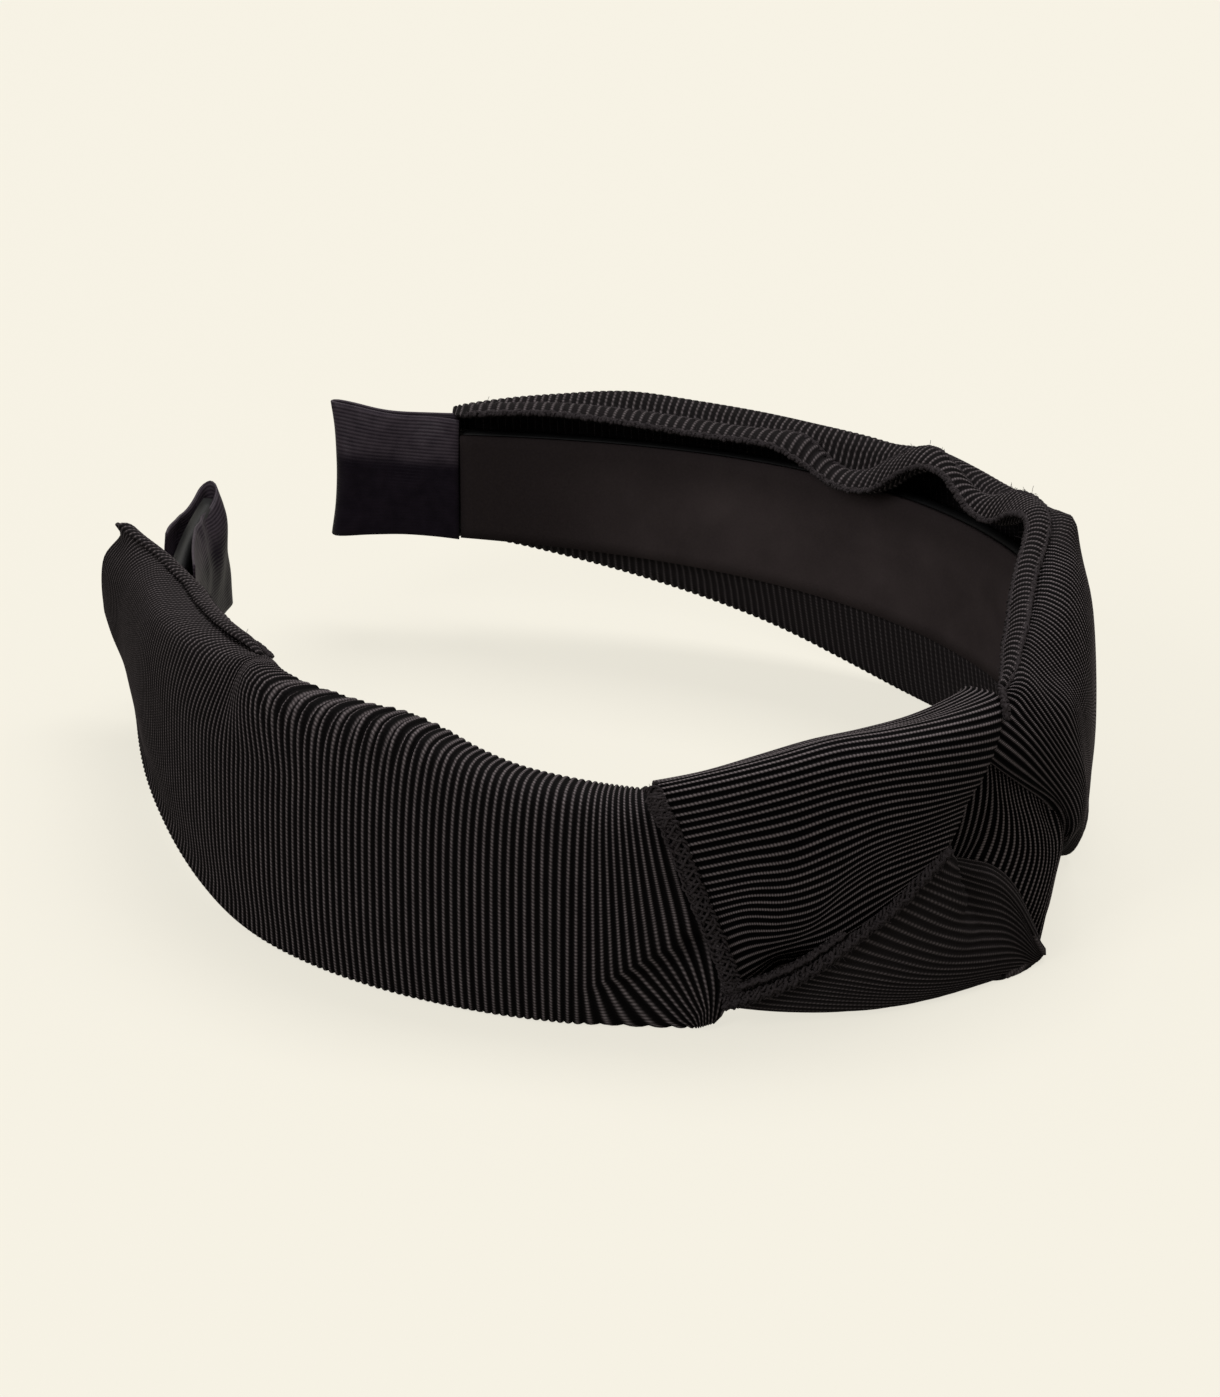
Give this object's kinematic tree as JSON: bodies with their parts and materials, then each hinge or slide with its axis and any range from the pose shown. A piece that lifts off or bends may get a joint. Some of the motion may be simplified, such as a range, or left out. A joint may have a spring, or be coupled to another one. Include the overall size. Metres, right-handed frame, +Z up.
{
  "type": "knotted headband",
  "caption": "Springy C-shaped headband hoop under gathered ribbed cloth, with a crossed knot at the crown, a suede lining and satin-wrapped tips.",
  "frame": {"origin": "middle of the footprint's bounding box, on the surface that the headband lies on", "axes": "+Z up from the surface; +Y from the knot towards the two tips; +X towards the right arm"},
  "size_m": [0.138, 0.163, 0.0476],
  "materials": {
    "ribbed_cloth": "near-black horizontal-rib cloth, slightly lustrous on the rib crests",
    "overlock_yarn": "fuzzy black overlock sewing yarn",
    "lining_suede": "matte dark grey-brown imitation suede",
    "tip_satin": "black satin ribbon with a soft sheen",
    "hoop_plastic": "moulded black plastic"
  },
  "bodies": {
    "crown": {"hoop_crown": "hoop_plastic", "lining_crown": "lining_suede", "knot_front_wrap": "ribbed_cloth", "knot_lower_strand": "ribbed_cloth", "knot_inner_strand": "ribbed_cloth", "knot_right_wrap": "ribbed_cloth", "left_seam_yarn": "overlock_yarn", "diagonal_seam_yarn": "overlock_yarn", "right_seam_yarn": "overlock_yarn"},
    "left_arm": {"hoop_left_arm": "hoop_plastic", "lining_left_arm": "lining_suede", "left_tip_tape": "tip_satin", "left_drape": "ribbed_cloth", "left_hem": "ribbed_cloth", "left_overlock_yarn": "overlock_yarn"},
    "right_arm": {"hoop_right_arm": "hoop_plastic", "lining_right_arm": "lining_suede", "right_tip_tape": "tip_satin", "right_drape": "ribbed_cloth", "right_seam_allowance": "ribbed_cloth", "right_overlock_yarn": "overlock_yarn"}
  },
  "joints": [
    {"name": "left_arm_flex", "type": "hinge", "parent": "crown", "child": "left_arm", "pos_m": [-0.04164, -0.05536, 0.0204], "axis": [-0.0276, -0.0141, 0.9995], "range_deg": [-4, 20], "stiffness_Nm_per_rad": 1.4},
    {"name": "right_arm_flex", "type": "hinge", "parent": "crown", "child": "right_arm", "pos_m": [0.0401, -0.05539, 0.02266], "axis": [0.0276, 0.0141, -0.9995], "range_deg": [-4, 20], "stiffness_Nm_per_rad": 1.4}
  ]
}
